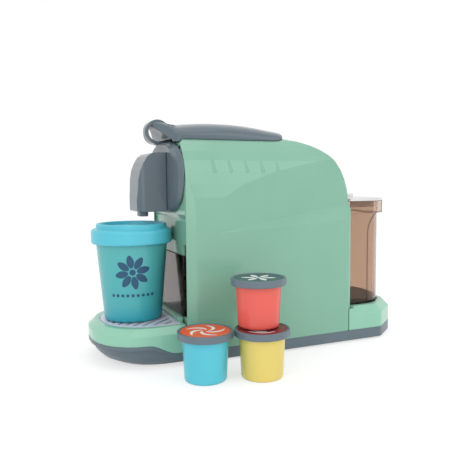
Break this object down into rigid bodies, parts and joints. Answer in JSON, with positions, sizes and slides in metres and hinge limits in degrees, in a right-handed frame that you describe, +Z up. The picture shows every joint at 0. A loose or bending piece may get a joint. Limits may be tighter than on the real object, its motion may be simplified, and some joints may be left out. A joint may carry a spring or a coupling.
{
  "type": "toy coffee maker",
  "caption": "Toy capsule coffee maker with a rounded mint housing, lift-up lever, round-nosed drip tray, clear tank at the rear, lidded takeaway cup and play capsules.",
  "frame": {"origin": "middle of the machine's base on the floor, half way between the side walls", "axes": "+Z up, -Y towards the front where the cup stands, +X towards the side on which the loose capsules stand"},
  "size_m": [0.1812, 0.308, 0.2126],
  "materials": {
    "mint_plastic": "glossy moulded plastic, mint green",
    "slate_plastic": "satin moulded plastic, slate grey",
    "smoke_plastic": "clear moulded plastic, smoky brown",
    "ivory_plastic": "glossy moulded plastic, white with a trace of lavender",
    "cyan_plastic": "glossy moulded plastic, cyan",
    "teal_plastic": "translucent moulded plastic, teal",
    "blue_plastic": "glossy moulded plastic, light blue",
    "yellow_plastic": "glossy moulded plastic, yellow",
    "red_plastic": "glossy moulded plastic, coral red",
    "brown_plastic": "glossy moulded plastic, reddish brown",
    "black_plastic": "matt moulded plastic, near black",
    "orange_label": "printed film, orange with a white pattern",
    "maroon_label": "printed film, dark red with a white pattern",
    "green_label": "printed film, dark green with a white pattern",
    "soft_rubber": "soft rubber, near black",
    "steel": "bare steel",
    "cell_steel": "wrapped steel can, dark grey",
    "board_green": "resin board, green"
  },
  "bodies": {
    "housing": {"base_pan": "slate_plastic", "rubber_feet": "soft_rubber", "base_screws": "steel", "battery_box": "black_plastic", "battery_cells": "cell_steel", "battery_contacts": "steel", "battery_door": "slate_plastic", "door_screw": "steel", "deck": "mint_plastic", "right_shell": "mint_plastic", "left_shell": "mint_plastic", "shell_screws": "steel", "front_wall": "mint_plastic", "head_plate": "slate_plastic", "brew_head": "slate_plastic", "spout": "slate_plastic", "capsule_chute": "ivory_plastic", "hinge_block": "slate_plastic", "lever_pin": "steel", "button_plate": "slate_plastic", "circuit_board": "board_green", "push_switches": "black_plastic", "speaker": "black_plastic", "slide_switch": "steel", "water_pump": "ivory_plastic", "pump_motor": "steel", "suction_tube": "ivory_plastic", "delivery_tube": "ivory_plastic", "tank_socket": "black_plastic"},
    "tray_unit": {"tray_foot": "slate_plastic", "drip_tray": "mint_plastic", "drip_grate": "ivory_plastic", "capsule_bin": "smoke_plastic"},
    "lever_arm": {"lever": "slate_plastic", "lever_plunger": "slate_plastic"},
    "front_key": {"front_button": "brown_plastic"},
    "rear_key": {"rear_button": "black_plastic"},
    "power_knob": {"power_slider": "black_plastic"},
    "tank": {"water_tank": "smoke_plastic", "tank_sump": "black_plastic", "tank_valve": "black_plastic"},
    "tank_cover": {"tank_lid": "ivory_plastic"},
    "takeaway_cup": {"cup": "teal_plastic"},
    "cup_cover": {"cup_lid": "cyan_plastic"},
    "blue_pod": {"blue_capsule": "blue_plastic", "blue_capsule_ring": "slate_plastic", "blue_capsule_label": "orange_label"},
    "yellow_pod": {"yellow_capsule": "yellow_plastic", "yellow_capsule_ring": "slate_plastic", "yellow_capsule_label": "maroon_label"},
    "red_pod": {"red_capsule": "red_plastic", "red_capsule_ring": "slate_plastic", "red_capsule_label": "green_label"}
  },
  "joints": [
    {"name": "tray_slide", "type": "slide", "parent": "housing", "child": "tray_unit", "axis": [0, -1, 0], "range_m": [0, 0.065]},
    {"name": "lever_hinge", "type": "hinge", "parent": "housing", "child": "lever_arm", "pos_m": [0, 0.024, 0.199], "axis": [-1, 0, 0], "range_deg": [0, 75]},
    {"name": "front_button_press", "type": "slide", "parent": "housing", "child": "front_key", "axis": [0, -0.4067, -0.9135], "range_m": [0, 0.0015], "stiffness_N_per_m": 800},
    {"name": "rear_button_press", "type": "slide", "parent": "housing", "child": "rear_key", "axis": [0, -0.4067, -0.9135], "range_m": [0, 0.0015], "stiffness_N_per_m": 800},
    {"name": "power_slide", "type": "slide", "parent": "housing", "child": "power_knob", "axis": [0, 1, 0], "range_m": [0, 0.0045]},
    {"name": "tank_lift", "type": "slide", "parent": "housing", "child": "tank", "axis": [0, 0, 1], "range_m": [0, 0.12]},
    {"name": "tank_lid_lift", "type": "slide", "parent": "tank", "child": "tank_cover", "axis": [0, 0, 1], "range_m": [0, 0.03]},
    {"name": "cup_slide", "type": "slide", "parent": "tray_unit", "child": "takeaway_cup", "axis": [0, -1, 0], "range_m": [0, 0.12]},
    {"name": "cup_lid_lift", "type": "slide", "parent": "takeaway_cup", "child": "cup_cover", "axis": [0, 0, 1], "range_m": [0, 0.005]},
    {"name": "blue_capsule_lift", "type": "slide", "parent": "housing", "child": "blue_pod", "axis": [0, 0, 1], "range_m": [0, 0.03]},
    {"name": "yellow_capsule_lift", "type": "slide", "parent": "housing", "child": "yellow_pod", "axis": [0, 0, 1], "range_m": [0, 0.06]},
    {"name": "red_capsule_lift", "type": "slide", "parent": "yellow_pod", "child": "red_pod", "axis": [0, 0, 1], "range_m": [0, 0.06]}
  ]
}
